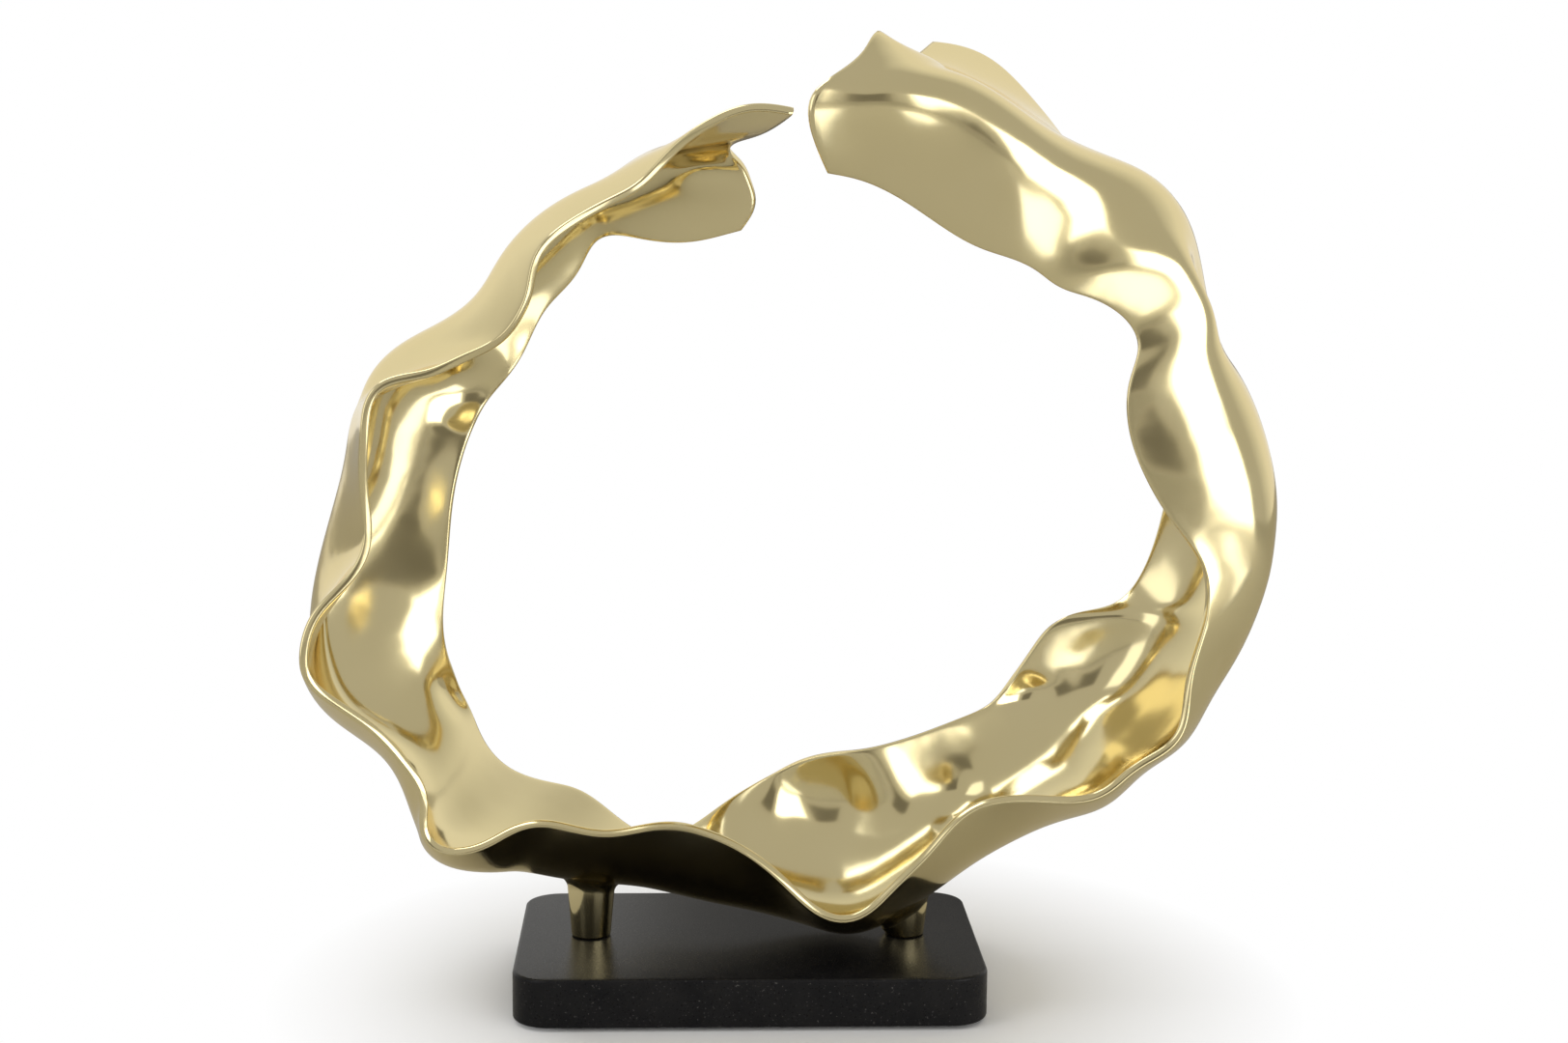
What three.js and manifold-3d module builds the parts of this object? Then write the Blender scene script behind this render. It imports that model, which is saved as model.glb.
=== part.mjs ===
// Ring sculpture: a wide, wavy, polished metal ribbon bent into an open ring.
// The ribbon stands on two short posts that are screwed to a stone slab.
// Millimetres, Z up. The front of the sculpture faces -Y.
import * as THREE from 'three';
import { mergeVertices } from 'three/addons/utils/BufferGeometryUtils.js';
import Module from 'manifold-3d';

// Driving dimensions
const RING_WIDTH = 501;
const SLAB_WIDTH = 240;
const SLAB_DEPTH = 150;
const SLAB_HEIGHT = 25;
const SLAB_CORNER_RADIUS = 19;
const SLAB_EDGE_ROUND = 1.6;
const RIBBON_THICKNESS = 4.6;
const RIBBON_CORNER_ROUND = 1.3;
const POST_FOOT_DIAMETER = 20.6;
const POST_TOP_DIAMETER = 24.4;
const POST_INSET = 37.5;
const PAD_DIAMETER = 22;
const PAD_HEIGHT = 1.5;
const PAD_INSET = 24;
const SEAT_GAP = 0.3;

// Screws that come up through the slab into the posts
const SCREW_DIAMETER = 8;
const SCREW_HEAD_DIAMETER = 13;
const SCREW_HEAD_HEIGHT = 6;
const SCREW_REACH_INTO_POST = 9;
const HEX_SOCKET_WIDTH = 6;
const HEX_SOCKET_DEPTH = 3.5;
const SCREW_CHAMFER = 0.6;
const SCREW_TIP_GAP = 1;
const WASHER_DIAMETER = 17;
const WASHER_HEIGHT = 1.6;
const COUNTERBORE_DIAMETER = 19;
const COUNTERBORE_DEPTH = 10;

// The posts: the round with which they flare into the ribbon
const POST_FLARE_RADIUS = 6;
const POST_FLARE_STEPS = 5;
const POST_FOOT_ROUND = 0.8;
const POST_SINK_INTO_RIBBON = RIBBON_THICKNESS / 3;

// Heights that follow from the driving dimensions
const SLAB_BOTTOM = PAD_HEIGHT + SEAT_GAP;
const SLAB_TOP = SLAB_BOTTOM + SLAB_HEIGHT;
const POST_BOTTOM = SLAB_TOP + SEAT_GAP;

// How finely the soft form is cut into facets
const STATIONS_ALONG = 150;
const POINTS_ACROSS = 15;
const ROUND_SEGMENTS = 40;
const SLAB_CORNER_SEGMENTS = 10;
const SLAB_EDGE_SEGMENTS = 3;

// How far a cutting tool runs past the face that it starts from, and how near two points are welded
const CUT_MARGIN = 1;
const WELD_DISTANCE = 1e-4;

// The soft form is laid out as it looks from one eye point in front of the sculpture.
// Every row is [across, up, depth]: across and up are seen on a plane at the layout distance,
// and depth is how far the point lies behind (+) or in front (-) of the slab's middle line.
const EYE = {
  place: new THREE.Vector3(-34, -1278, 408.5 + SLAB_TOP),
  layoutDistance: 1300,
  turn: THREE.MathUtils.degToRad(2.3),
  dip: THREE.MathUtils.degToRad(8.4),
  roll: THREE.MathUtils.degToRad(0.45),
};

// The ring's lowest place, which stays where it is when the ring is made wider or narrower
const LOWEST_PLACE = [0, -206, 0];

// Front rim, from the tip at the top left, down the left side, along the bottom and up the right
const FRONT_RIM = [
  [5, 212.5, -66], [-14, 215.2, -66], [-26, 212.9, -65], [-36, 208, -64], [-46, 201.7, -62],
  [-56, 193.2, -60], [-66, 182, -58], [-76, 172.2, -58], [-86, 167, -58], [-106, 156.5, -60],
  [-116, 150, -62], [-125, 141.5, -63], [-129.5, 132, -63], [-131, 118, -62], [-135, 108.5, -61],
  [-145, 94.5, -60], [-166, 84.2, -60], [-186, 75.8, -62], [-204, 73.6, -64], [-212, 69, -65],
  [-217, 50, -65], [-218, 30, -62], [-215.8, 5, -57], [-214.8, -7, -56], [-217.5, -19, -57],
  [-228.5, -33.5, -60], [-243, -48, -64], [-249, -66, -66], [-248.5, -79, -66],
  [-236.5, -91, -65], [-212.5, -107, -63], [-194.5, -126.5, -62], [-185.5, -142.5, -62],
  [-187, -161, -63], [-180, -169.5, -64], [-168, -171, -65], [-157.5, -169, -64],
  [-139, -158, -61], [-124, -155.2, -60], [-106, -159, -61], [-90, -161, -62], [-74, -158.2, -61],
  [-58, -156.2, -60], [-42, -159.6, -60], [-26, -166.5, -61], [-10, -177, -63], [6, -192, -66],
  [20, -203.8, -68], [32, -206.6, -69], [44, -201.4, -68], [56, -189, -66], [74, -171.5, -63],
  [87, -155.8, -61], [98, -147.4, -60], [114, -143.3, -60], [142, -144, -61], [159, -143.3, -62],
  [169, -138.5, -62], [180, -128.2, -62], [196.5, -119.2, -63], [204, -112.5, -63],
  [208, -97, -63], [209.5, -80, -62], [215.5, -59, -62], [219, -38, -61], [216.5, -22.5, -60],
  [207, -8.2, -59], [196.5, 6, -57], [186, 25, -55], [178.5, 47, -53], [177.2, 60, -53],
  [179.4, 76, -53], [184, 91, -51], [182, 98, -50.5], [173.5, 108, -50.5], [154.5, 117.5, -52],
  [141.5, 121.5, -52], [132.5, 129, -51], [117.5, 137, -50], [103, 141.5, -49], [88, 149, -47],
  [68, 162.5, -47], [53, 171.5, -49], [40, 177, -51], [22.5, 180.8, -53],
];

// Line round the outside, where the ribbon bellies out furthest from the ring's middle
const BELLY = [
  [-26, 186.5, 34], [-52, 189, 24], [-66, 189, 16], [-95.5, 171.5, 8], [-132, 142, 8], [-149, 120, 10],
  [-173, 101.5, 10], [-197, 90, 12], [-213, 72.5, 18], [-218, 30, 29], [-230.5, -11.5, 33],
  [-239.5, -45.5, 26], [-237, -70, 16], [-221, -99, 7], [-197, -116, 5], [-183, -132, 5],
  [-181, -152, 0], [-177, -163, -5], [-166, -169, -5], [-152, -172.5, -5], [-136.5, -176.5, 0],
  [-108.5, -182.5, 0], [-76, -186, 0], [-56, -190.5, 0], [-36, -195, 0], [-16, -198.5, 2],
  [4, -202.5, 5], [32, -205, 6], [58, -196, 6], [74, -186.5, 5], [94, -173.5, 5], [114, -163, 5],
  [133, -153.5, 5], [149, -146.5, 4], [160, -140, 4], [169, -130, 3], [189, -113, 0],
  [203, -102, -2], [211, -93, -4], [228, -70, -8], [241.5, -30, -16], [252, 0, -22],
  [250, 35, -27], [231.5, 78, -30], [212.5, 113.5, -33], [208, 144, -34], [199, 163.5, -34],
  [183, 179, -34], [162, 188.5, -34], [142, 198, -34], [124, 209.5, -33], [108, 220.5, -32],
  [94, 228.5, -34], [82, 233, -37], [71, 238.5, -41], [57, 243.5, -45], [44, 246.5, -49],
];

// Back rim, the same way round
const BACK_RIM = [
  [-26, 149, 48], [-54, 144.5, 56], [-77.5, 147.5, 58], [-91, 149, 58],
  [-98, 146, 58], [-102.5, 138.5, 58], [-107.5, 128, 58], [-123, 111, 58], [-137, 83.5, 54],
  [-155, 59.5, 50], [-165, 38, 47], [-171.5, 10, 44], [-174.5, -25, 43], [-177, -52.5, 42],
  [-174.5, -70, 43], [-165.5, -91, 48], [-158.5, -110, 53], [-146, -126, 58], [-125, -135, 60],
  [-105, -140, 60], [-96, -146, 58], [-84, -156, 56], [-67, -164, 54], [-50, -160, 54],
  [-32, -147, 54], [-9.5, -132.5, 52], [14, -122, 48], [39, -118, 47], [68, -110.5, 50],
  [93, -101, 54], [107, -94, 57], [118, -80.5, 58], [128, -66, 57], [138, -53.5, 56],
  [149, -48, 56], [165, -46, 56], [176, -40, 57], [184, -29.7, 58], [191.5, -13, 58],
  [197, 6.5, 58], [203, 40, 58], [199, 85, 58], [180, 137.5, 60], [157, 177, 62],
  [138, 205, 64], [124, 222, 66], [104, 240, 68], [89, 245.5, 68], [77, 247, 68],
];

// Where the middle of the front wall lies, measured from half way between front rim and belly:
// [degrees round the ring, out from the ring's middle, back, on round the ring]
const FRONT_WALL = [
  [98, 2, 0, 5], [106, -3, -1, 2], [118, 4, -1, 0], [160, 6, -1, 0], [200, 6, -1, 0], [215, 8, -2, 0],
  [230, 8, -3, 0], [250, 8, -3, 0], [280, 6, -3, 0], [300, 8, -3, 0], [325, 6, -4, 0],
  [345, 10, -6, 0], [360, 21, -11, 0], [370, 23, -9, 0], [382, 23, -3, 0], [395, 22, -7, 0], [404, 24, -5, 0],
  [417, 29, -18, 0], [428, 28, -19, 4], [440, 4, -17, 21],
];

// Where the middle of the back wall lies, measured from half way between belly and back rim
const BACK_WALL = [
  [98, -3, 1, -12], [106, 3, 5, -7], [118, 8, 9, 0], [135, 10, 11, 0], [160, 9, 9, 0],
  [180, 8, 3, 0], [198, 1, -2, 0], [215, 0, -4, 0], [230, 3, 1, 0], [250, 3, 4, 0],
  [265, 6, 9, 0], [280, 9, 14, 0], [300, 9, 13, 0], [325, 8, 16, 0], [345, 11, 19, 0],
  [360, 14, 6, 0], [375, 17, 4, 0], [395, 15, 4, 0], [410, 8, 4, 0], [425, -2, 4, 0],
  [440, -12, 2, 0],
];

// Bowls pressed into the ribbon, with a flat floor and a steep wall: push moves the skin out from the
// ring's middle, or in if negative, and along and wide are the bowl's half sizes on the ribbon
const BOWLS = [
  { at: [24, -150, 41], push: 4.5, along: 28, wide: 36 },
  { at: [87, -148, 37], push: 4.5, along: 19, wide: 26 },
  { at: [174, -77, 35], push: 4, along: 38, wide: 32 },
  { at: [130, -93, 50], push: 4, along: 14, wide: 13 },
  { at: [-193, -6, 52], push: 1, along: 50, wide: 20 },
  { at: [-162, 67, 48], push: 6, along: 22, wide: 20 },
  { at: [-174, -91, 43], push: 5, along: 16, wide: 11 },
  { at: [-39, 178, 36], push: 5, along: 15, wide: 8 },
  { at: [225, -78, -50], push: -4, along: 13, wide: 8 },
];

// Soft swellings of the ribbon, given in the same way
const SWELLINGS = [
  { at: [64, 214, -67], push: 2, along: 28, wide: 36 },
  { at: [126, 148, -54], push: 2.5, along: 34, wide: 40 },
  { at: [56, -136, 40], push: -2.5, along: 16, wide: 26 },
];

// Places where the soft form is tugged: shift is [right, back, up]
const TUGS = [
  { at: [27, 231, -50], shift: [8, 0, -6], reach: 9 },
  { at: [44, 246, -49], shift: [-1, 0, 9.5], reach: 6 },
  { at: [-24, 186, 34], shift: [4, 0, 0], reach: 6 },
  { at: [-26, 149, 48], shift: [4, 0, 2], reach: 7 },
];

// A natural cubic spline through rows of numbers, smooth in its curvature
class Spline {
  constructor(knots, rows) {
    this.knots = knots;
    this.rows = rows;
    this.bends = rows[0].map((_, axis) => this.solveBends(rows.map((row) => row[axis])));
  }

  solveBends(values) {
    const last = values.length - 1;
    const slope = new Array(values.length).fill(0);
    const bend = new Array(values.length).fill(0);
    for (let i = 1; i < last; i += 1) {
      const before = this.knots[i] - this.knots[i - 1];
      const after = this.knots[i + 1] - this.knots[i];
      const weight = before / (before + after);
      const pivot = weight * slope[i - 1] + 2;
      slope[i] = (weight - 1) / pivot;
      const turn = (values[i + 1] - values[i]) / after - (values[i] - values[i - 1]) / before;
      bend[i] = ((6 * turn) / (before + after) - weight * bend[i - 1]) / pivot;
    }
    for (let i = last - 1; i > 0; i -= 1) {
      bend[i] += slope[i] * bend[i + 1];
    }
    bend[last] = 0;
    return bend;
  }

  at(place) {
    let i = 0;
    while (i < this.knots.length - 2 && place > this.knots[i + 1]) {
      i += 1;
    }
    const width = this.knots[i + 1] - this.knots[i];
    const high = (place - this.knots[i]) / width;
    const low = 1 - high;
    return this.rows[i].map((value, axis) => {
      const lowBend = (low ** 3 - low) * this.bends[axis][i];
      const highBend = (high ** 3 - high) * this.bends[axis][i + 1];
      return low * value + high * this.rows[i + 1][axis]
        + ((lowBend + highBend) * width * width) / 6;
    });
  }
}

// Degrees round the ring, counted on past a full turn so that they only ever grow
function ringAngle(row, near) {
  let angle = THREE.MathUtils.radToDeg(Math.atan2(row[1], row[0]));
  while (angle < near - 180) {
    angle += 360;
  }
  return angle;
}

// How many times the search for a place on a line halves the stretch that is left
const HALVINGS = 45;

// A line round the ring: a spline through its rows that can be asked for any ring angle
class RingLine {
  constructor(rows) {
    const lengths = [0];
    for (let i = 1; i < rows.length; i += 1) {
      const step = Math.hypot(...rows[i].map((value, axis) => value - rows[i - 1][axis]));
      lengths.push(lengths[i - 1] + step);
    }
    this.length = lengths[lengths.length - 1];
    this.spline = new Spline(lengths, rows);
    this.angles = [ringAngle(rows[0], 180)];
    for (let i = 1; i < rows.length; i += 1) {
      this.angles.push(ringAngle(rows[i], this.angles[i - 1] + 20));
    }
    this.lengths = lengths;
    this.start = this.angles[0];
    this.end = this.angles[this.angles.length - 1];
  }

  // share runs from 0 at the left end of the ribbon to 1 at the right end
  at(share) {
    const wanted = this.start + (this.end - this.start) * share;
    let low = 0;
    let high = this.length;
    for (let step = 0; step < HALVINGS; step += 1) {
      const middle = (low + high) / 2;
      const angle = ringAngle(this.spline.at(middle), this.nearAngle(middle));
      if (angle < wanted) {
        low = middle;
      } else {
        high = middle;
      }
    }
    return this.spline.at((low + high) / 2);
  }

  nearAngle(length) {
    let i = 0;
    while (i < this.lengths.length - 2 && length > this.lengths[i + 1]) {
      i += 1;
    }
    return this.angles[i];
  }
}

// Moves a row that was laid out by eye to its true place in space
function placeSeen([across, up, depth]) {
  const right = new THREE.Vector3(Math.cos(EYE.turn), -Math.sin(EYE.turn), 0);
  const ahead = new THREE.Vector3(
    Math.sin(EYE.turn) * Math.cos(EYE.dip),
    Math.cos(EYE.turn) * Math.cos(EYE.dip),
    -Math.sin(EYE.dip),
  );
  const upward = new THREE.Vector3().crossVectors(right, ahead);
  const levelAcross = across * Math.cos(EYE.roll) - up * Math.sin(EYE.roll);
  const levelUp = across * Math.sin(EYE.roll) + up * Math.cos(EYE.roll);
  const sight = ahead.multiplyScalar(EYE.layoutDistance);
  sight.addScaledVector(right, levelAcross).addScaledVector(upward, levelUp);
  return EYE.place.clone().addScaledVector(sight, (depth - EYE.place.y) / sight.y);
}

// The middle of a wall: half way from one line to the next, then moved by its offsets
function wallMiddle(from, to, centre, [, out, back, onward]) {
  const middle = from.clone().add(to).multiplyScalar(0.5);
  const outward = new THREE.Vector3(middle.x - centre.x, 0, middle.z - centre.z).normalize();
  middle.x += outward.x * out - outward.z * onward;
  middle.y += back;
  middle.z += outward.z * out + outward.x * onward;
  return middle;
}

const frontRim = new RingLine(FRONT_RIM);
const belly = new RingLine(BELLY);
const backRim = new RingLine(BACK_RIM);
const frontOffsets = new Spline(FRONT_WALL.map((row) => row[0]), FRONT_WALL);
const backOffsets = new Spline(BACK_WALL.map((row) => row[0]), BACK_WALL);
const ringCentre = placeSeen([0, 0, 0]);

// Five points across the ribbon at one place along it, joined by a smooth line
function sectionAt(share) {
  const front = placeSeen(frontRim.at(share));
  const middle = placeSeen(belly.at(share));
  const back = placeSeen(backRim.at(share));
  const angle = belly.start + (belly.end - belly.start) * share;
  const frontWall = wallMiddle(front, middle, ringCentre, frontOffsets.at(angle));
  const backWall = wallMiddle(middle, back, ringCentre, backOffsets.at(angle));
  const points = [front, frontWall, middle, backWall, back];
  const knots = [0];
  for (let i = 1; i < points.length; i += 1) {
    knots.push(knots[i - 1] + points[i].distanceTo(points[i - 1]));
  }
  const width = knots[points.length - 1];
  return new Spline(knots.map((knot) => knot / width), points.map((point) => point.toArray()));
}

// Shares along the ribbon that give stations an even distance apart
function evenShares(count) {
  const fine = 1200;
  const travelled = [0];
  let lastSection = sectionAt(0);
  for (let i = 1; i <= fine; i += 1) {
    const section = sectionAt(i / fine);
    let step = 0;
    for (const across of [0, 1]) {
      const here = section.at(across);
      const there = lastSection.at(across);
      step += Math.hypot(here[0] - there[0], here[1] - there[1], here[2] - there[2]) / 2;
    }
    travelled.push(travelled[i - 1] + step);
    lastSection = section;
  }
  const shares = [];
  let i = 0;
  for (let station = 0; station < count; station += 1) {
    const wanted = (travelled[fine] * station) / (count - 1);
    while (i < fine - 1 && travelled[i + 1] < wanted) {
      i += 1;
    }
    const part = (wanted - travelled[i]) / (travelled[i + 1] - travelled[i]);
    shares.push(Math.min(1, (i + part) / fine));
  }
  return shares;
}

// The row and place in the row of the grid point nearest to a point in space
function nearestInGrid(grid, target) {
  let best = [0, 0];
  let least = Infinity;
  grid.forEach((row, i) => row.forEach((point, j) => {
    const distance = point.distanceToSquared(target);
    if (distance < least) {
      least = distance;
      best = [i, j];
    }
  }));
  return best;
}

// Pushes the points of the grid round the middle of each bowl or swelling, against the skin's normal there
function press(grid, normals, presses, share) {
  const lastRow = grid.length - 1;
  for (const { at, push, along, wide } of presses) {
    const [i, j] = nearestInGrid(grid, placeSeen(at));
    const middle = grid[i][j].clone();
    const onward = grid[Math.min(i + 1, lastRow)][j].clone().sub(grid[Math.max(i - 1, 0)][j]).normalize();
    for (const point of grid.flat()) {
      const offset = point.clone().sub(middle);
      const forward = offset.dot(onward);
      const sideways = Math.sqrt(Math.max(0, offset.lengthSq() - forward * forward));
      const reach = Math.min(1, (forward / along) ** 2 + (sideways / wide) ** 2);
      point.addScaledVector(normals[i][j], -push * share(reach));
    }
  }
}

const bowlShare = (reach) => (1 - reach ** 2) ** 2;
const swellingShare = (reach) => (1 - reach) ** 2;

// Shifts the points of the grid round the middle of each tug
function applyTugs(grid) {
  for (const { at, shift, reach } of TUGS) {
    const [i, j] = nearestInGrid(grid, placeSeen(at));
    const middle = grid[i][j].clone();
    for (const point of grid.flat()) {
      const distance = point.distanceTo(middle) / reach;
      point.addScaledVector(new THREE.Vector3(...shift), Math.exp(-(distance ** 2) / 2));
    }
  }
}

// The width that the rows give the ring, from the front rim at the left to the belly at the right
function laidOutWidth() {
  const leftmost = Math.min(...FRONT_RIM.map(([across]) => across));
  const rightmost = Math.max(...BELLY.map(([across]) => across));
  return rightmost - leftmost;
}

// The ribbon's middle surface as rows of points, one row for each station
function middleSurface() {
  const grid = evenShares(STATIONS_ALONG).map((share) => {
    const section = sectionAt(share);
    const points = [];
    for (let j = 0; j < POINTS_ACROSS; j += 1) {
      points.push(new THREE.Vector3(...section.at(j / (POINTS_ACROSS - 1))));
    }
    return points;
  });
  applyTugs(grid);
  const normals = gridNormals(grid);
  press(grid, normals, SWELLINGS, swellingShare);
  press(grid, normals, BOWLS, bowlShare);
  const lowest = placeSeen(LOWEST_PLACE);
  for (const point of grid.flat()) {
    point.sub(lowest).multiplyScalar(RING_WIDTH / laidOutWidth()).add(lowest);
  }
  return grid;
}

// Normals of a grid of points; they face the ring's middle
function gridNormals(grid) {
  const lastRow = grid.length - 1;
  return grid.map((row, i) => row.map((_, j) => {
    const lastPoint = row.length - 1;
    const along = grid[Math.min(i + 1, lastRow)][j].clone().sub(grid[Math.max(i - 1, 0)][j]);
    const across = row[Math.min(j + 1, lastPoint)].clone().sub(row[Math.max(j - 1, 0)]);
    return along.cross(across).normalize();
  }));
}

// One closed loop of points round the ribbon's section
function sectionLoop(points, normals, thickness) {
  const half = thickness / 2;
  const round = RIBBON_CORNER_ROUND;
  const last = points.length - 1;
  const rimOut = (edge, next) => {
    const out = points[edge].clone().sub(points[next]);
    return out.addScaledVector(normals[edge], -out.dot(normals[edge])).normalize();
  };
  const frontOut = rimOut(0, 1);
  const backOut = rimOut(last, last - 1);
  const place = (edge, out, inset, side) => points[edge].clone()
    .addScaledVector(out, -inset).addScaledVector(normals[edge], side);
  const soft = round * (1 - Math.SQRT1_2);
  const loop = [];
  loop.push(place(0, frontOut, round, half));
  for (let j = 1; j < last; j += 1) {
    loop.push(points[j].clone().addScaledVector(normals[j], half));
  }
  loop.push(place(last, backOut, round, half));
  loop.push(place(last, backOut, soft, half - soft));
  loop.push(place(last, backOut, 0, half - round));
  loop.push(place(last, backOut, 0, round - half));
  loop.push(place(last, backOut, soft, soft - half));
  loop.push(place(last, backOut, round, -half));
  for (let j = last - 1; j > 0; j -= 1) {
    loop.push(points[j].clone().addScaledVector(normals[j], -half));
  }
  loop.push(place(0, frontOut, round, -half));
  loop.push(place(0, frontOut, soft, soft - half));
  loop.push(place(0, frontOut, 0, round - half));
  loop.push(place(0, frontOut, 0, half - round));
  loop.push(place(0, frontOut, soft, half - soft));
  return loop;
}

// Joins the loops into one closed skin with a cap at either end
function skinLoops(loops) {
  const size = loops[0].length;
  const positions = loops.flat().flatMap((point) => point.toArray());
  const faces = [];
  for (let i = 0; i + 1 < loops.length; i += 1) {
    for (let j = 0; j < size; j += 1) {
      const a = i * size + j;
      const b = i * size + ((j + 1) % size);
      faces.push(a, a + size, b + size, a, b + size, b);
    }
  }
  const capPairs = POINTS_ACROSS + 4;
  const caps = [[0, false], [(loops.length - 1) * size, true]];
  for (const [first, flip] of caps) {
    const outer = (k) => first + ((size - 2 + k) % size);
    const inner = (k) => first + size - 3 - k;
    for (let k = 0; k + 1 < capPairs; k += 1) {
      const quad = [outer(k), outer(k + 1), inner(k + 1), inner(k)];
      const corners = flip ? [0, 2, 1, 0, 3, 2] : [0, 1, 2, 0, 2, 3];
      faces.push(...corners.map((corner) => quad[corner]));
    }
  }
  const geometry = new THREE.BufferGeometry();
  geometry.setAttribute('position', new THREE.Float32BufferAttribute(positions, 3));
  geometry.setIndex(faces);
  return geometry;
}

function ribbonGeometry(thickness) {
  const grid = middleSurface();
  const normals = gridNormals(grid);
  return skinLoops(grid.map((row, i) => sectionLoop(row, normals[i], thickness)));
}

const wasm = await Module();
wasm.setup();

// Plain positions and an index, welded, so that the skin is closed
function welded(geometry) {
  geometry.deleteAttribute('normal');
  geometry.deleteAttribute('uv');
  return mergeVertices(geometry, WELD_DISTANCE);
}

function toSolid(geometry) {
  const skin = welded(geometry);
  return new wasm.Manifold(new wasm.Mesh({
    numProp: 3,
    vertProperties: new Float32Array(skin.attributes.position.array),
    triVerts: new Uint32Array(skin.index.array),
  }));
}

function toGeometry(solid) {
  const mesh = solid.getMesh();
  const geometry = new THREE.BufferGeometry();
  geometry.setAttribute('position', new THREE.BufferAttribute(mesh.vertProperties, 3));
  geometry.setIndex(new THREE.BufferAttribute(mesh.triVerts, 1));
  return geometry;
}

// A round solid turned about an upright axis; profile rows are [radius, height]
function turned(profile, x, y) {
  const points = profile.map(([radius, height]) => new THREE.Vector2(radius, height));
  const geometry = new THREE.LatheGeometry(points, ROUND_SEGMENTS);
  geometry.rotateX(Math.PI / 2);
  geometry.translate(x, y, 0);
  return geometry;
}

function disc(diameter, bottom, top, x, y) {
  const radius = diameter / 2;
  return turned([[0, bottom], [radius, bottom], [radius, top], [0, top]], x, y);
}

function roundedRectangle(width, depth, radius) {
  const shape = new THREE.Shape();
  const halfWidth = width / 2 - radius;
  const halfDepth = depth / 2 - radius;
  shape.absarc(halfWidth, halfDepth, radius, 0, Math.PI / 2);
  shape.absarc(-halfWidth, halfDepth, radius, Math.PI / 2, Math.PI);
  shape.absarc(-halfWidth, -halfDepth, radius, Math.PI, Math.PI * 1.5);
  shape.absarc(halfWidth, -halfDepth, radius, Math.PI * 1.5, Math.PI * 2);
  return shape;
}

const POST_PLACES = { left: [POST_INSET - SLAB_WIDTH / 2, 0], right: [SLAB_WIDTH / 2 - POST_INSET, 0] };
const SCREW_BOTTOM = SLAB_BOTTOM + COUNTERBORE_DEPTH - WASHER_HEIGHT - 2 * SEAT_GAP - SCREW_HEAD_HEIGHT;
const SCREW_TOP = POST_BOTTOM + SCREW_REACH_INTO_POST;

function slabSolid() {
  const shape = roundedRectangle(
    SLAB_WIDTH - 2 * SLAB_EDGE_ROUND,
    SLAB_DEPTH - 2 * SLAB_EDGE_ROUND,
    SLAB_CORNER_RADIUS - SLAB_EDGE_ROUND,
  );
  const geometry = new THREE.ExtrudeGeometry(shape, {
    depth: SLAB_HEIGHT - 2 * SLAB_EDGE_ROUND,
    bevelThickness: SLAB_EDGE_ROUND,
    bevelSize: SLAB_EDGE_ROUND,
    bevelSegments: SLAB_EDGE_SEGMENTS,
    curveSegments: SLAB_CORNER_SEGMENTS,
  });
  geometry.translate(0, 0, SLAB_BOTTOM + SLAB_EDGE_ROUND);
  let solid = toSolid(geometry);
  for (const [x, y] of Object.values(POST_PLACES)) {
    const shankHole = SCREW_DIAMETER + 2 * SEAT_GAP;
    const below = SLAB_BOTTOM - CUT_MARGIN;
    const above = SLAB_TOP + CUT_MARGIN;
    solid = solid.subtract(toSolid(disc(shankHole, below, above, x, y)));
    const shoulder = SLAB_BOTTOM + COUNTERBORE_DEPTH;
    solid = solid.subtract(toSolid(disc(COUNTERBORE_DIAMETER, below, shoulder, x, y)));
  }
  return solid;
}

// How high the underside of the ribbon lies above a place on the slab
function undersideAt(ribbonMesh, x, y) {
  const sight = new THREE.Raycaster(new THREE.Vector3(x, y, SLAB_TOP), new THREE.Vector3(0, 0, 1));
  return sight.intersectObject(ribbonMesh)[0].point.z;
}

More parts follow.
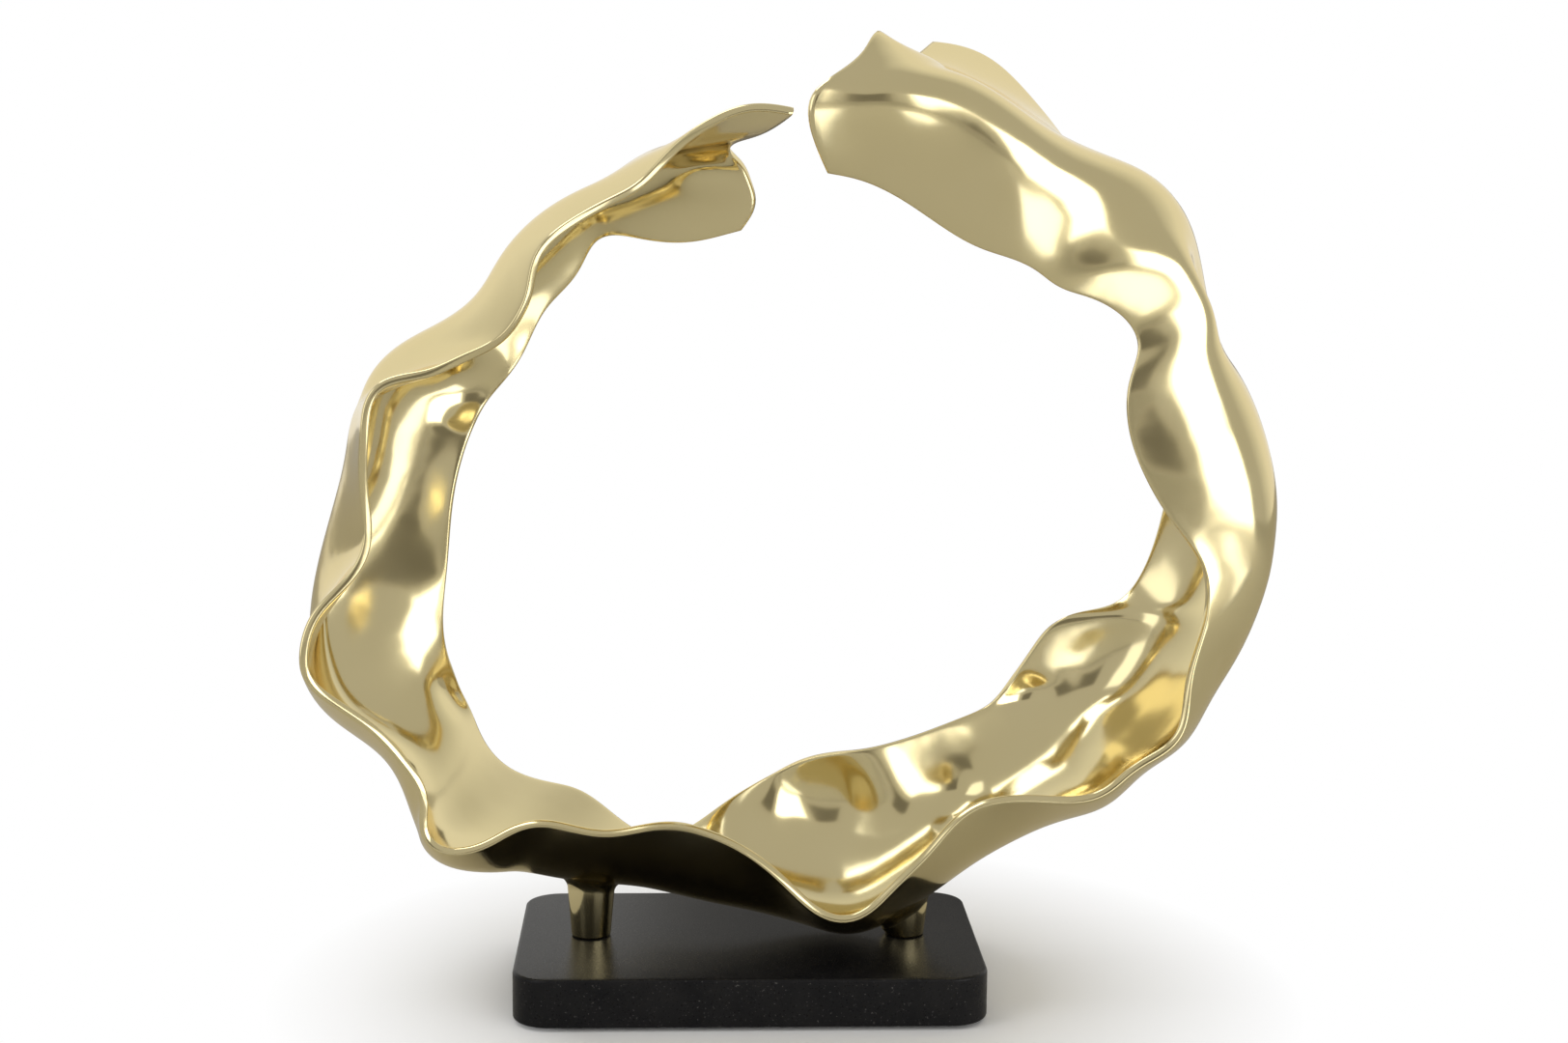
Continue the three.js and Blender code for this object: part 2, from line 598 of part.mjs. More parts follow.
// A short tapered post whose top flares out and follows the underside of the ribbon
function postBlank(x, y, ribbonMesh) {
  const foot = POST_FOOT_DIAMETER / 2;
  const top = POST_TOP_DIAMETER / 2;
  const rings = [];
  const addRing = (radius, heightAt) => {
    const ring = [];
    for (let k = 0; k < ROUND_SEGMENTS; k += 1) {
      const turn = (2 * Math.PI * k) / ROUND_SEGMENTS;
      const atX = x + radius * Math.cos(turn);
      const atY = y + radius * Math.sin(turn);
      ring.push([atX, atY, heightAt(atX, atY)]);
    }
    rings.push(ring);
  };
  const under = (sink) => (atX, atY) => undersideAt(ribbonMesh, atX, atY) - sink;
  addRing(foot - POST_FOOT_ROUND, () => POST_BOTTOM);
  addRing(foot, () => POST_BOTTOM + POST_FOOT_ROUND);
  for (let step = 0; step <= POST_FLARE_STEPS; step += 1) {
    const turn = (Math.PI / 2) * (step / POST_FLARE_STEPS);
    addRing(top + POST_FLARE_RADIUS * (1 - Math.cos(turn)), under(POST_FLARE_RADIUS * (1 - Math.sin(turn))));
  }
  addRing(top + POST_FLARE_RADIUS, under(-POST_SINK_INTO_RIBBON));
  const middleTop = [x, y, under(-POST_SINK_INTO_RIBBON)(x, y)];
  const points = [[x, y, POST_BOTTOM], ...rings.flat(), middleTop];
  const faces = [];
  const lastRing = 1 + (rings.length - 1) * ROUND_SEGMENTS;
  for (let k = 0; k < ROUND_SEGMENTS; k += 1) {
    const next = (k + 1) % ROUND_SEGMENTS;
    faces.push(0, 1 + next, 1 + k);
    for (let first = 1; first < lastRing; first += ROUND_SEGMENTS) {
      const above = first + ROUND_SEGMENTS;
      faces.push(first + k, first + next, above + next, first + k, above + next, above + k);
    }
    faces.push(lastRing + k, lastRing + next, points.length - 1);
  }
  const geometry = new THREE.BufferGeometry();
  geometry.setAttribute('position', new THREE.Float32BufferAttribute(points.flat(), 3));
  geometry.setIndex(faces);
  return geometry;
}

function postSolid(side, ribbonMesh) {
  const [x, y] = POST_PLACES[side];
  const boreBottom = POST_BOTTOM - CUT_MARGIN;
  const bore = disc(SCREW_DIAMETER + 2 * SEAT_GAP, boreBottom, SCREW_TOP + SCREW_TIP_GAP, x, y);
  const blank = toSolid(postBlank(x, y, ribbonMesh)).subtract(toSolid(bore));
  return blank.subtract(toSolid(ribbonMesh.geometry.clone()));
}

function screwSolid(side) {
  const [x, y] = POST_PLACES[side];
  const head = SCREW_HEAD_DIAMETER / 2;
  const shank = SCREW_DIAMETER / 2;
  const headTop = SCREW_BOTTOM + SCREW_HEAD_HEIGHT;
  const blank = toSolid(turned([
    [0, SCREW_BOTTOM], [head - SCREW_CHAMFER, SCREW_BOTTOM], [head, SCREW_BOTTOM + SCREW_CHAMFER],
    [head, headTop], [shank, headTop], [shank, SCREW_TOP - SCREW_CHAMFER],
    [shank - SCREW_CHAMFER, SCREW_TOP], [0, SCREW_TOP],
  ], x, y));
  const socket = new THREE.CylinderGeometry(
    HEX_SOCKET_WIDTH / Math.sqrt(3), HEX_SOCKET_WIDTH / Math.sqrt(3), 2 * HEX_SOCKET_DEPTH, 6,
  );
  socket.rotateX(Math.PI / 2);
  socket.translate(x, y, SCREW_BOTTOM);
  return blank.subtract(toSolid(socket));
}

function washerSolid(side) {
  const [x, y] = POST_PLACES[side];
  const bottom = SCREW_BOTTOM + SCREW_HEAD_HEIGHT + SEAT_GAP;
  const top = bottom + WASHER_HEIGHT;
  const hole = SCREW_DIAMETER + 2 * SEAT_GAP;
  const plate = toSolid(disc(WASHER_DIAMETER, bottom, top, x, y));
  return plate.subtract(toSolid(disc(hole, bottom - CUT_MARGIN, top + CUT_MARGIN, x, y)));
}

function metal(color, roughness) {
  return new THREE.MeshStandardMaterial({ color, metalness: 1, roughness });
}

function addPiece(group, name, geometry, material) {
  const mesh = new THREE.Mesh(geometry, material);
  mesh.name = name;
  group.add(mesh);
}

function buildSculpture() {
  const group = new THREE.Group();
  group.name = 'ring_sculpture';
  const brass = metal(0xb9a66b, 0.12);
  const steel = metal(0x8d9094, 0.35);
  const stone = new THREE.MeshStandardMaterial({ color: 0x24242a, metalness: 0, roughness: 0.45 });
  const felt = new THREE.MeshStandardMaterial({ color: 0x1c1a18, metalness: 0, roughness: 1 });

  addPiece(group, 'ribbon', ribbonGeometry(RIBBON_THICKNESS), brass);
  const ribbonWithGap = new THREE.Mesh(
    ribbonGeometry(RIBBON_THICKNESS + 2 * SEAT_GAP),
    new THREE.MeshBasicMaterial({ side: THREE.DoubleSide }),
  );
  for (const side of ['left', 'right']) {
    addPiece(group, `${side}_post`, toGeometry(postSolid(side, ribbonWithGap)), brass);
    addPiece(group, `${side}_screw`, toGeometry(screwSolid(side)), steel);
    addPiece(group, `${side}_washer`, toGeometry(washerSolid(side)), steel);
  }
  addPiece(group, 'base_slab', toGeometry(slabSolid()), stone);
  const padX = SLAB_WIDTH / 2 - PAD_INSET;
  const padY = SLAB_DEPTH / 2 - PAD_INSET;
  for (const [name, x, y] of [
    ['foot_pad_front_left', -padX, -padY], ['foot_pad_front_right', padX, -padY],
    ['foot_pad_back_left', -padX, padY], ['foot_pad_back_right', padX, padY],
  ]) {
    addPiece(group, name, welded(disc(PAD_DIAMETER, 0, PAD_HEIGHT, x, y)), felt);
  }

  const box = new THREE.Box3().setFromObject(group);
  const middle = box.getCenter(new THREE.Vector3());
  for (const mesh of group.children) {
    mesh.geometry.translate(-middle.x, -middle.y, -box.min.z);
    mesh.geometry.computeVertexNormals();
  }
  return group;
}

export default buildSculpture();
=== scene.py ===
import math

import bmesh
import bpy
from mathutils import Matrix, Vector
from mathutils.bvhtree import BVHTree


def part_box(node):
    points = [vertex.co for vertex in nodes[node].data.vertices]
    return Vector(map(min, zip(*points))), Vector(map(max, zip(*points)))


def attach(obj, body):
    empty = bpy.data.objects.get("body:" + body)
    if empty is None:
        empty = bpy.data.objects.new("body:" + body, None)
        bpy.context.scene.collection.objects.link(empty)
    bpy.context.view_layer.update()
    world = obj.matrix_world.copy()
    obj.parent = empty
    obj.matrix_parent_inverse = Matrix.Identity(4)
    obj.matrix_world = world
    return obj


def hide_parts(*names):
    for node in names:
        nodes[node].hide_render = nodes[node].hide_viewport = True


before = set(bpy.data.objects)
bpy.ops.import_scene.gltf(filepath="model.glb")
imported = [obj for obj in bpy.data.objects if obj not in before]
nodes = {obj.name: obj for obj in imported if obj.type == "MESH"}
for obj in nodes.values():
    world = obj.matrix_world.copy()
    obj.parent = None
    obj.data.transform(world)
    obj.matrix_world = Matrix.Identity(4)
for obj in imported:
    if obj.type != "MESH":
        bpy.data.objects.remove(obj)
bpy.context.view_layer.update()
MM = 0.001
UP = Vector((0, 0, 1))
QUARTER_TURN = math.pi / 2

# Camera, found from the slab's outline in the photo
EYE_FROM_SLAB = Vector((-34, -1278, 433.5)) * MM
EYE_TURN = math.radians(2.3)
EYE_DIP = math.radians(8.4)
EYE_ROLL = math.radians(0.45)
SENSOR_WIDTH = 36
LENS = 57.64

# Skins: which vertices are one and the same, and how sharp an edge has to be to stay sharp
WELD_DISTANCE = 0.001 * MM
POST_SHARP_ANGLE = math.radians(50)
SLAB_SHARP_ANGLE = math.radians(40)

# Ribbon: how many edges meet in the middle of its lattice, the most edges in a line along an end
# face, how crisp the end faces' edges stay, and how often its faces are divided for the rounding
LATTICE_EDGES = 6
LONGEST_END_LINE = 24
END_FACE_CREASE = 0.85
ROUNDING_LEVELS = 2

# Posts: a rounded foot, a taper and a flare whose edge sinks a little into the ribbon
POST_FOOT_RADIUS = 10.3 * MM
POST_TOP_RADIUS = 12.2 * MM
POST_FOOT_ROUND = 0.8 * MM
POST_FLARE_RADIUS = 6.5 * MM
POST_SINK = 0.5 * MM
POST_SEGMENTS = 96
POST_FOOT_STEPS = 3
POST_FLARE_STEPS = 14

# Colours; the pairs are the two ends between which a material varies
WHITE = (1.0, 1.0, 1.0)
GOLD = ((0.78, 0.67, 0.37), (0.81, 0.7, 0.405))
GOLD_AT_FLAT_ANGLES = (1.0, 0.92, 0.72)
STONE = ((0.005, 0.005, 0.006), (0.011, 0.0105, 0.011))
STONE_SPECKS = (0.09, 0.087, 0.083)
STEEL = ((0.50, 0.51, 0.53), (0.60, 0.61, 0.62))
FELT = ((0.012, 0.012, 0.012), (0.05, 0.048, 0.045))
FLOOR = ((0.91, 0.91, 0.91), (0.93, 0.93, 0.93))

# Floor: its size, where it begins and ends to fade into the white background, and its colour as
# the metal mirrors it, darker than the floor itself: painted shade
FLOOR_HALF_WIDTH = 3
FLOOR_FADE_START = 0.13
FLOOR_FADE_END = 0.27
MIRRORED_FLOOR = (0.54, 0.53, 0.5)

# Room in front of the sculpture and backdrop behind it. The change from one to the other is given
# by how much a direction points to the back, from 0 for sideways to 1 for straight back
DIM_ROOM = (0.52, 0.51, 0.485)
WHITE_BACKDROP = (0.88, 0.87, 0.84)
ROOM_ENDS = 0.0
BACKDROP_BEGINS = 0.6

# Cards of light: each is a square of side 1 that is then scaled. Along its border, over a share
# of its size, its light fades into the light of the room
CARD_HALF = 0.5
CARD_SOFT_BORDER = 0.12
ROOM_GLOW = 0.51

# Softboxes, all at one distance from the ring's middle. Turn and rise are degrees as seen from
# there: turn is 0 in front and grows to the right
SOFTBOX_DISTANCE = 1.5
RIGHT_SOFTBOX = {"size": (1.45, 0.76), "turn": 38, "rise": 5, "light": ((1.0, 0.99, 0.97), 3.3)}
LEFT_SOFTBOX = {"size": (0.7, 1.2), "turn": -50, "rise": 12, "light": (WHITE, 1.5)}
TOP_SOFTBOX = {"size": (1.0, 0.8), "turn": -80, "rise": 62, "light": (WHITE, 3.1)}

# White board that lies on the floor
BOARD_SIZE = (0.62, 0.8)
BOARD_PLACE = Vector((0.45, -0.75, 0.01))
BOARD_STRENGTH = 2.2

# Dark cards: the camera with its stand, and behind the slab a dark sheet, painted shade that is seen
# only in reflections
DARK = (1.0, 0.95, 0.85)
DARK_STRENGTH = 0.18
STAND_SIZE = (0.48, 0.52)
STAND_FROM_EYE = Vector((0, -0.06, 0))
SHADE_SIZE = (0.7, 0.5)
SHADE_FROM_SLAB = Vector((0.26, 1.1, 0.25))

slab_low, slab_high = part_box("base_slab")
slab_middle = Vector(((slab_low.x + slab_high.x) / 2, (slab_low.y + slab_high.y) / 2, slab_low.z))
ring_low, ring_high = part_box("ribbon")
ring_middle = (ring_low + ring_high) / 2


# Small helpers

def link(name, data):
    obj = bpy.data.objects.new(name, data)
    bpy.context.scene.collection.objects.link(obj)
    return obj


def mesh_object(name, bm):
    mesh = bpy.data.meshes.new(name)
    bm.to_mesh(mesh)
    bm.free()
    return link(name, mesh)


def flat_sheet(name, half_width):
    bm = bmesh.new()
    bmesh.ops.create_grid(bm, x_segments=1, y_segments=1, size=half_width)
    return mesh_object(name, bm)


def smooth(obj, sharp_angle=None):
    for polygon in obj.data.polygons:
        polygon.use_smooth = True
    if sharp_angle is not None:
        obj.data.set_sharp_from_angle(angle=sharp_angle)


def welded_copy(node):
    bm = bmesh.new()
    bm.from_mesh(nodes[node].data)
    bmesh.ops.remove_doubles(bm, verts=bm.verts, dist=WELD_DISTANCE)
    return bm


# The ribbon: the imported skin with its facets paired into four-sided ones, then smoothed

def straight_on(vert, edge):
    """The edge that goes on straight through a vertex in the middle of the lattice."""
    face = edge.link_faces[0]
    for _ in range(LATTICE_EDGES // 2):
        edge = next(other for other in face.edges if other is not edge and vert in other.verts)
        face = next(other for other in edge.link_faces if other is not face)
    return edge


def end_face_borders(bm):
    """The edges round the ribbon's two end faces: straight lines between their corners, which are
    the only vertices where another number of edges meets."""
    corners = {vert for vert in bm.verts if len(vert.link_edges) != LATTICE_EDGES}
    borders = set()
    for corner in corners:
        for first in corner.link_edges:
            line = [first]
            vert = first.other_vert(corner)
            while vert not in corners and len(line) < LONGEST_END_LINE:
                line.append(straight_on(vert, line[-1]))
                vert = line[-1].other_vert(vert)
            if vert in corners:
                borders.update(line)
    return borders


def spread_kinds(seed, kinds, borders):
    """Gives every edge of the lattice round the seed facet one of three kinds, so that parallel
    edges have the same kind. It stops at the borders and returns the facets it has reached."""
    for kind, edge in enumerate(seed.edges):
        kinds[edge] = kind
    seen = {seed}
    waiting = [seed]
    while waiting:
        face = waiting.pop()
        for edge in face.edges:
            if edge in borders:
                continue
            other = next(linked for linked in edge.link_faces if linked is not face)
            if other in seen:
                continue
            first, second = edge.verts
            for further in other.edges:
                if further is edge:
                    continue
                opposite = second if first in further.verts else first
                twin = next(e for e in face.edges if e is not edge and opposite in e.verts)
                kinds[further] = kinds[twin]
            seen.add(other)
            waiting.append(other)
    return seen


def facet_diagonals(bm, borders):
    """The edges that cut the four-sided facets of a regular skin into triangles: in every region
    the kind that is longest on average."""
    left = set(bm.faces)
    diagonals = set()
    while left:
        seed = max(left, key=lambda face: face.index)
        kinds = {}
        left -= spread_kinds(seed, kinds, borders)
        lengths = [[], [], []]
        for edge, kind in kinds.items():
            lengths[kind].append(edge.calc_length())
        means = [sum(group) / len(group) for group in lengths]
        longest = means.index(max(means))
        diagonals.update(edge for edge, kind in kinds.items() if kind == longest)
    return sorted(diagonals - borders, key=lambda edge: edge.index)


def build_ribbon():
    bm = welded_copy("ribbon")
    crease = bm.edges.layers.float.new("crease_edge")
    bm.edges.index_update()
    bm.faces.index_update()
    borders = end_face_borders(bm)
    for edge in borders:
        edge[crease] = END_FACE_CREASE
    bmesh.ops.dissolve_edges(bm, edges=facet_diagonals(bm, borders), use_verts=False)
    obj = mesh_object("polished_ribbon", bm)
    rounding = obj.modifiers.new("rounding", "SUBSURF")
    rounding.levels = ROUNDING_LEVELS
    rounding.render_levels = ROUNDING_LEVELS
    smooth(obj)
    return obj


# The posts: tapered, with a flare that follows the underside of the ribbon

def post_ring(bm, x, y, radius, height):
    """A ring of vertices round an upright axis; height gives the z of every one from its place."""
    ring = []
    for k in range(POST_SEGMENTS):
        turn = 2 * math.pi * k / POST_SEGMENTS
        at_x = x + radius * math.cos(turn)
        at_y = y + radius * math.sin(turn)
        ring.append(bm.verts.new((at_x, at_y, height(at_x, at_y))))
    return ring


def close_skin(bm, rings):
    """Faces between the rings, and one at each end."""
    for ring, above in zip(rings, rings[1:]):
        for k in range(POST_SEGMENTS):
            after = (k + 1) % POST_SEGMENTS
            bm.faces.new((ring[k], ring[after], above[after], above[k]))
    bm.faces.new(list(reversed(rings[0])))
    bm.faces.new(rings[-1])


def build_post(name, node, underside):
    low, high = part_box(node)
    x = (low.x + high.x) / 2
    y = (low.y + high.y) / 2
    bottom = low.z

    def ribbon_above(at_x, at_y):
        return underside.ray_cast(Vector((at_x, at_y, bottom)), UP)[0].z

    bm = bmesh.new()
    rings = []
    for step in range(POST_FOOT_STEPS + 1):
        turn = QUARTER_TURN * step / POST_FOOT_STEPS
        radius = POST_FOOT_RADIUS - POST_FOOT_ROUND * (1 - math.sin(turn))
        lift = POST_FOOT_ROUND * (1 - math.cos(turn))
        rings.append(post_ring(bm, x, y, radius, lambda *place: bottom + lift))
    for step in range(POST_FLARE_STEPS + 1):
        turn = QUARTER_TURN * step / POST_FLARE_STEPS
        radius = POST_TOP_RADIUS + POST_FLARE_RADIUS * (1 - math.cos(turn))
        drop = POST_FLARE_RADIUS * (1 - math.sin(turn)) - POST_SINK
        rings.append(post_ring(bm, x, y, radius, lambda *place: ribbon_above(*place) - drop))
    close_skin(bm, rings)
    obj = mesh_object(name, bm)
    smooth(obj, POST_SHARP_ANGLE)
    return obj


# The slab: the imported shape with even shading

def build_slab():
    obj = mesh_object("stone_slab", welded_copy("base_slab"))
    smooth(obj, SLAB_SHARP_ANGLE)
    shading = obj.modifiers.new("shading", "WEIGHTED_NORMAL")
    shading.keep_sharp = True
    return obj


# Pieces of a material

def new_material(name):
    """A material, its tree, its shader and the place of a point on the object."""
    material = bpy.data.materials.new(name)
    material.use_nodes = True
    tree = material.node_tree
    place = tree.nodes.new("ShaderNodeTexCoord").outputs["Object"]
    return material, tree, tree.nodes["Principled BSDF"], place


def noise(tree, vector, scale, detail):
    node = tree.nodes.new("ShaderNodeTexNoise")
    node.inputs["Scale"].default_value = scale
    node.inputs["Detail"].default_value = detail
    tree.links.new(vector, node.inputs["Vector"])
    return node.outputs["Fac"]


def remap(tree, value, low, high, start=0.3, end=0.7, shape="LINEAR"):
    """Low where the value is at the start, high where it is at the end, and between them between."""
    node = tree.nodes.new("ShaderNodeMapRange")
    node.interpolation_type = shape
    node.inputs["From Min"].default_value = start
    node.inputs["From Max"].default_value = end
    node.inputs["To Min"].default_value = low
    node.inputs["To Max"].default_value = high
    tree.links.new(value, node.inputs["Value"])
    return node.outputs["Result"]


def mix_colours(tree, factor, first, second):
    node = tree.nodes.new("ShaderNodeMix")
    node.data_type = "RGBA"
    tree.links.new(factor, node.inputs["Factor"])
    for socket, value in (("A", first), ("B", second)):
        target = next(s for s in node.inputs if s.name == socket and s.type == "RGBA")
        if isinstance(value, tuple):
            target.default_value = (*value, 1)
        else:
            tree.links.new(value, target)
    return next(s for s in node.outputs if s.type == "RGBA")


def clouded(tree, clouds, colours):
    """A colour that drifts between the two of a pair."""
    return mix_colours(tree, remap(tree, clouds, low=0, high=1), *colours)


def bump(tree, height, distance, strength):
    node = tree.nodes.new("ShaderNodeBump")
    node.inputs["Distance"].default_value = distance
    node.inputs["Strength"].default_value = strength
    tree.links.new(height, node.inputs["Height"])
    return node


def math_node(tree, operation, *values):
    node = tree.nodes.new("ShaderNodeMath")
    node.operation = operation
    for value, socket in zip(values, node.inputs):
        tree.links.new(value, socket)
    return node.outputs["Value"]


def ray_kind(tree, kind):
    return tree.nodes.new("ShaderNodeLightPath").outputs[kind]


# Materials of the sculpture

def polished_metal():
    material, tree, shader, place = new_material("polished_pale_gold")
    shader.inputs["Metallic"].default_value = 1
    colour = clouded(tree, noise(tree, place, scale=14, detail=2), GOLD)
    tree.links.new(colour, shader.inputs["Base Color"])
    shader.inputs["Specular Tint"].default_value = (*GOLD_AT_FLAT_ANGLES, 1)
    shader.inputs["Coat Weight"].default_value = 0.3
    shader.inputs["Coat Roughness"].default_value = 0.06
    haze = remap(tree, noise(tree, place, scale=45, detail=4), low=0.11, high=0.16)
    tree.links.new(haze, shader.inputs["Roughness"])
    waves = bump(tree, noise(tree, place, scale=55, detail=1), distance=0.6 * MM, strength=0.32)
    grain = bump(tree, noise(tree, place, scale=1500, detail=2), distance=0.02 * MM, strength=0.2)
    tree.links.new(waves.outputs["Normal"], grain.inputs["Normal"])
    tree.links.new(grain.outputs["Normal"], shader.inputs["Normal"])
    return material


def honed_stone():
    material, tree, shader, place = new_material("dark_honed_stone")
    specks = noise(tree, place, scale=900, detail=3)
    where_specks = remap(tree, specks, low=0, high=1, start=0.66, end=0.74)
    ground = clouded(tree, noise(tree, place, scale=60, detail=5), STONE)
    colour = mix_colours(tree, where_specks, ground, STONE_SPECKS)
    tree.links.new(colour, shader.inputs["Base Color"])
    haze = remap(tree, noise(tree, place, scale=900, detail=4), low=0.26, high=0.36)
    tree.links.new(haze, shader.inputs["Roughness"])
    shader.inputs["Specular IOR Level"].default_value = 0.16
    grain = bump(tree, noise(tree, place, scale=1600, detail=2), distance=0.01 * MM, strength=0.2)
    tree.links.new(grain.outputs["Normal"], shader.inputs["Normal"])
    return material


def plated_steel():
    material, tree, shader, place = new_material("plated_steel")
    shader.inputs["Metallic"].default_value = 1
    colour = clouded(tree, noise(tree, place, scale=300, detail=3), STEEL)
    tree.links.new(colour, shader.inputs["Base Color"])
    haze = remap(tree, noise(tree, place, scale=600, detail=2), low=0.28, high=0.42)
    tree.links.new(haze, shader.inputs["Roughness"])
    return material


def black_felt():
    material, tree, shader, place = new_material("black_felt")
    fibres = noise(tree, place, scale=1800, detail=5)
    tree.links.new(clouded(tree, fibres, FELT), shader.inputs["Base Color"])
    shader.inputs["Roughness"].default_value = 0.95
    rough = bump(tree, fibres, distance=0.3 * MM, strength=0.6)
    tree.links.new(rough.outputs["Normal"], shader.inputs["Normal"])
    return material


def dress(obj, material):
    obj.data.materials.clear()
    obj.data.materials.append(material)


# Cards of light

def border_fade(tree, across):
    """1 inside a card, falling softly to 0 at its border."""
    from_middle = math_node(tree, "ABSOLUTE", across)
    inside = CARD_HALF - CARD_SOFT_BORDER
    return remap(tree, from_middle, 0, 1, start=CARD_HALF, end=inside, shape="SMOOTHSTEP")


def glow(name, colour, strength):
    """A card's light, which fades into the light of the room towards the card's borders."""
    material = bpy.data.materials.new(name)
    material.use_nodes = True
    tree = material.node_tree
    tree.nodes.clear()
    across = tree.nodes.new("ShaderNodeSeparateXYZ")
    place = tree.nodes.new("ShaderNodeTexCoord").outputs["Object"]
    tree.links.new(place, across.inputs["Vector"])
    fades = [border_fade(tree, across.outputs[axis]) for axis in ("X", "Y")]
    fade = math_node(tree, "MULTIPLY", *fades)
    emission = tree.nodes.new("ShaderNodeEmission")
    emission.inputs["Color"].default_value = (*colour, 1)
    power = remap(tree, fade, ROOM_GLOW, strength, start=0, end=1)
    tree.links.new(power, emission.inputs["Strength"])
    output = tree.nodes.new("ShaderNodeOutputMaterial")
    tree.links.new(emission.outputs["Emission"], output.inputs["Surface"])
    return material


def card(name, size, place, target, material):
    """A flat card that faces the target and is seen in reflections only."""
    obj = flat_sheet(name, CARD_HALF)
    obj.scale = (*size, 1)
    obj.location = place
    obj.rotation_mode = "QUATERNION"
    obj.rotation_quaternion = (target - place).to_track_quat("Z", "Y")
    obj.data.materials.append(material)
    obj.visible_camera = False
    obj.visible_shadow = False


def softbox(side, box):
    turn = math.radians(box["turn"])
    rise = math.radians(box["rise"])
    flat = SOFTBOX_DISTANCE * math.cos(rise)
    height = SOFTBOX_DISTANCE * math.sin(rise)
    place = ring_middle + Vector((flat * math.sin(turn), -flat * math.cos(turn), height))
    light = glow(f"{side}_light", *box["light"])
    card(f"{side}_softbox", box["size"], place, ring_middle, light)


# Floor and room

def fade_to_white(tree, shader, place):
    """Away from the slab the floor is seen as plain white, like the background."""
    distance = tree.nodes.new("ShaderNodeVectorMath")
    distance.operation = "LENGTH"
    tree.links.new(place, distance.inputs[0])
    reach = distance.outputs["Value"]
    far = remap(tree, reach, 0, 1, start=FLOOR_FADE_START, end=FLOOR_FADE_END)
    seen = math_node(tree, "MULTIPLY", far, ray_kind(tree, "Is Camera Ray"))
    white = tree.nodes.new("ShaderNodeEmission")
    white.inputs["Color"].default_value = (*WHITE, 1)
    mix = tree.nodes.new("ShaderNodeMixShader")
    tree.links.new(seen, mix.inputs["Fac"])
    tree.links.new(shader.outputs["BSDF"], mix.inputs[1])
    tree.links.new(white.outputs["Emission"], mix.inputs[2])
    tree.links.new(mix.outputs["Shader"], tree.nodes["Material Output"].inputs["Surface"])


def build_floor():
    """A pale floor that keeps the shadow. The metal mirrors it darker than it is seen itself, a
    painted shade in its reflections.
    """
    obj = flat_sheet("floor", FLOOR_HALF_WIDTH)
    material, tree, shader, place = new_material("pale_floor")
    pale = clouded(tree, noise(tree, place, scale=3, detail=2), FLOOR)
    # Painted shade: glossy rays see the floor in a darker colour than it has
    colour = mix_colours(tree, ray_kind(tree, "Is Glossy Ray"), pale, MIRRORED_FLOOR)
    tree.links.new(colour, shader.inputs["Base Color"])
    shader.inputs["Roughness"].default_value = 0.8
    fade_to_white(tree, shader, place)
    obj.data.materials.append(material)


def build_world():
    world = bpy.data.worlds.new("studio")
    bpy.context.scene.world = world
    world.use_nodes = True
    tree = world.node_tree
    background = tree.nodes["Background"]
    direction = tree.nodes.new("ShaderNodeTexCoord").outputs["Generated"]
    split = tree.nodes.new("ShaderNodeSeparateXYZ")
    tree.links.new(direction, split.inputs["Vector"])
    behind = remap(tree, split.outputs["Y"], 0, 1, start=ROOM_ENDS, end=BACKDROP_BEGINS)
    room = mix_colours(tree, behind, DIM_ROOM, WHITE_BACKDROP)
    colour = mix_colours(tree, ray_kind(tree, "Is Camera Ray"), room, WHITE)
    tree.links.new(colour, background.inputs["Color"])
    background.inputs["Strength"].default_value = 1


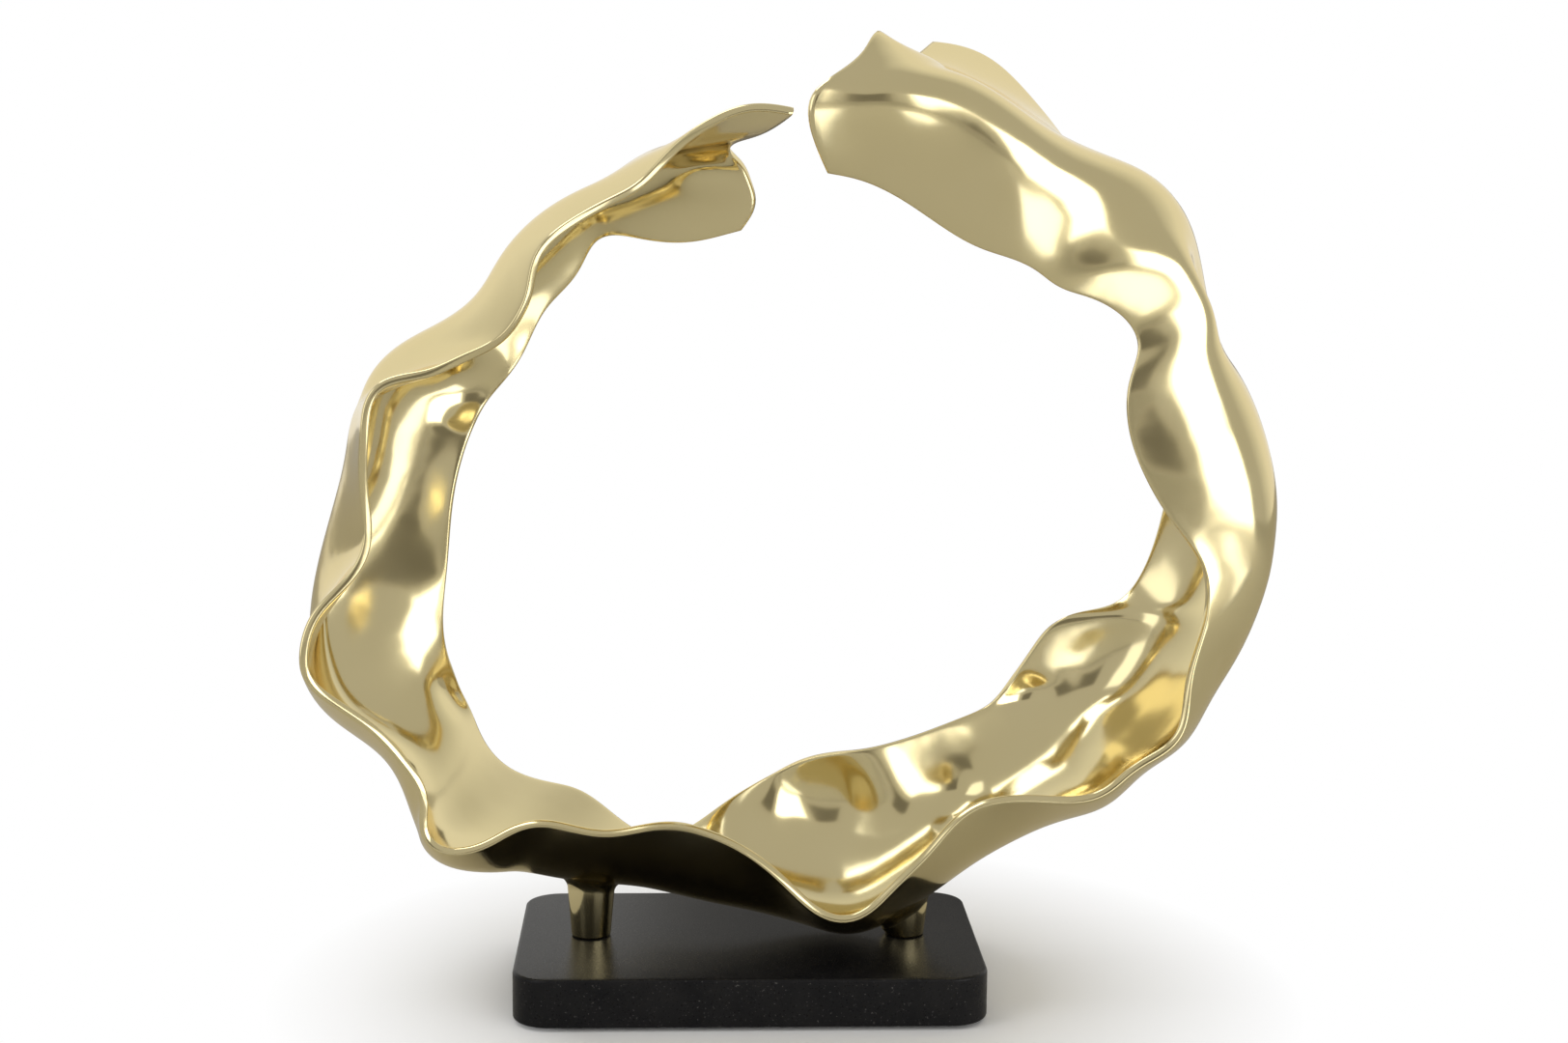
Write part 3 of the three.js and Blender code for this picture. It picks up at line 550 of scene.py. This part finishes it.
def build_studio():
    build_floor()
    build_world()
    softbox("right", RIGHT_SOFTBOX)
    softbox("left", LEFT_SOFTBOX)
    softbox("top", TOP_SOFTBOX)
    # One dark glow for the camera card and for the painted shade behind the slab
    dark = glow("dark_camera_and_painted_shade", DARK, DARK_STRENGTH)
    stand_place = slab_middle + EYE_FROM_SLAB + STAND_FROM_EYE
    card("camera_and_stand", STAND_SIZE, stand_place, ring_middle, dark)
    board_light = glow("board", WHITE, BOARD_STRENGTH)
    card("white_board_on_floor", BOARD_SIZE, BOARD_PLACE, BOARD_PLACE + UP, board_light)
    # Painted shade: a dark sheet where there is nothing, seen only in reflections, mostly on the
    # slab's top
    card("shade_behind", SHADE_SIZE, slab_middle + SHADE_FROM_SLAB, slab_middle, dark)


def build_camera():
    right = Vector((math.cos(EYE_TURN), -math.sin(EYE_TURN), 0))
    ahead = Vector((
        math.sin(EYE_TURN) * math.cos(EYE_DIP),
        math.cos(EYE_TURN) * math.cos(EYE_DIP),
        -math.sin(EYE_DIP),
    ))
    up = right.cross(ahead)
    right, up = (
        right * math.cos(EYE_ROLL) + up * math.sin(EYE_ROLL),
        up * math.cos(EYE_ROLL) - right * math.sin(EYE_ROLL),
    )
    data = bpy.data.cameras.new("photo_camera")
    data.lens = LENS
    data.sensor_width = SENSOR_WIDTH
    obj = link("photo_camera", data)
    columns = (right, up, -ahead, slab_middle + EYE_FROM_SLAB)
    rows = [[column[axis] for column in columns] for axis in range(3)]
    obj.matrix_world = Matrix(rows + [[0, 0, 0, 1]])
    bpy.context.scene.camera = obj


# Putting it together

metal = polished_metal()
ribbon = build_ribbon()
dress(ribbon, metal)
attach(ribbon, "root")
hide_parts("ribbon")

bpy.context.view_layer.update()
ribbon_tree = BVHTree.FromObject(ribbon, bpy.context.evaluated_depsgraph_get())
for side in ("left", "right"):
    post = build_post(f"{side}_flared_post", f"{side}_post", ribbon_tree)
    dress(post, metal)
    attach(post, "root")
    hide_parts(f"{side}_post")

slab = build_slab()
dress(slab, honed_stone())
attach(slab, "root")
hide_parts("base_slab")

steel = plated_steel()
felt = black_felt()
for side in ("left", "right"):
    dress(nodes[f"{side}_screw"], steel)
    dress(nodes[f"{side}_washer"], steel)
for corner in ("front_left", "front_right", "back_left", "back_right"):
    dress(nodes[f"foot_pad_{corner}"], felt)

build_studio()
build_camera()
bpy.context.scene.view_settings.view_transform = "Standard"
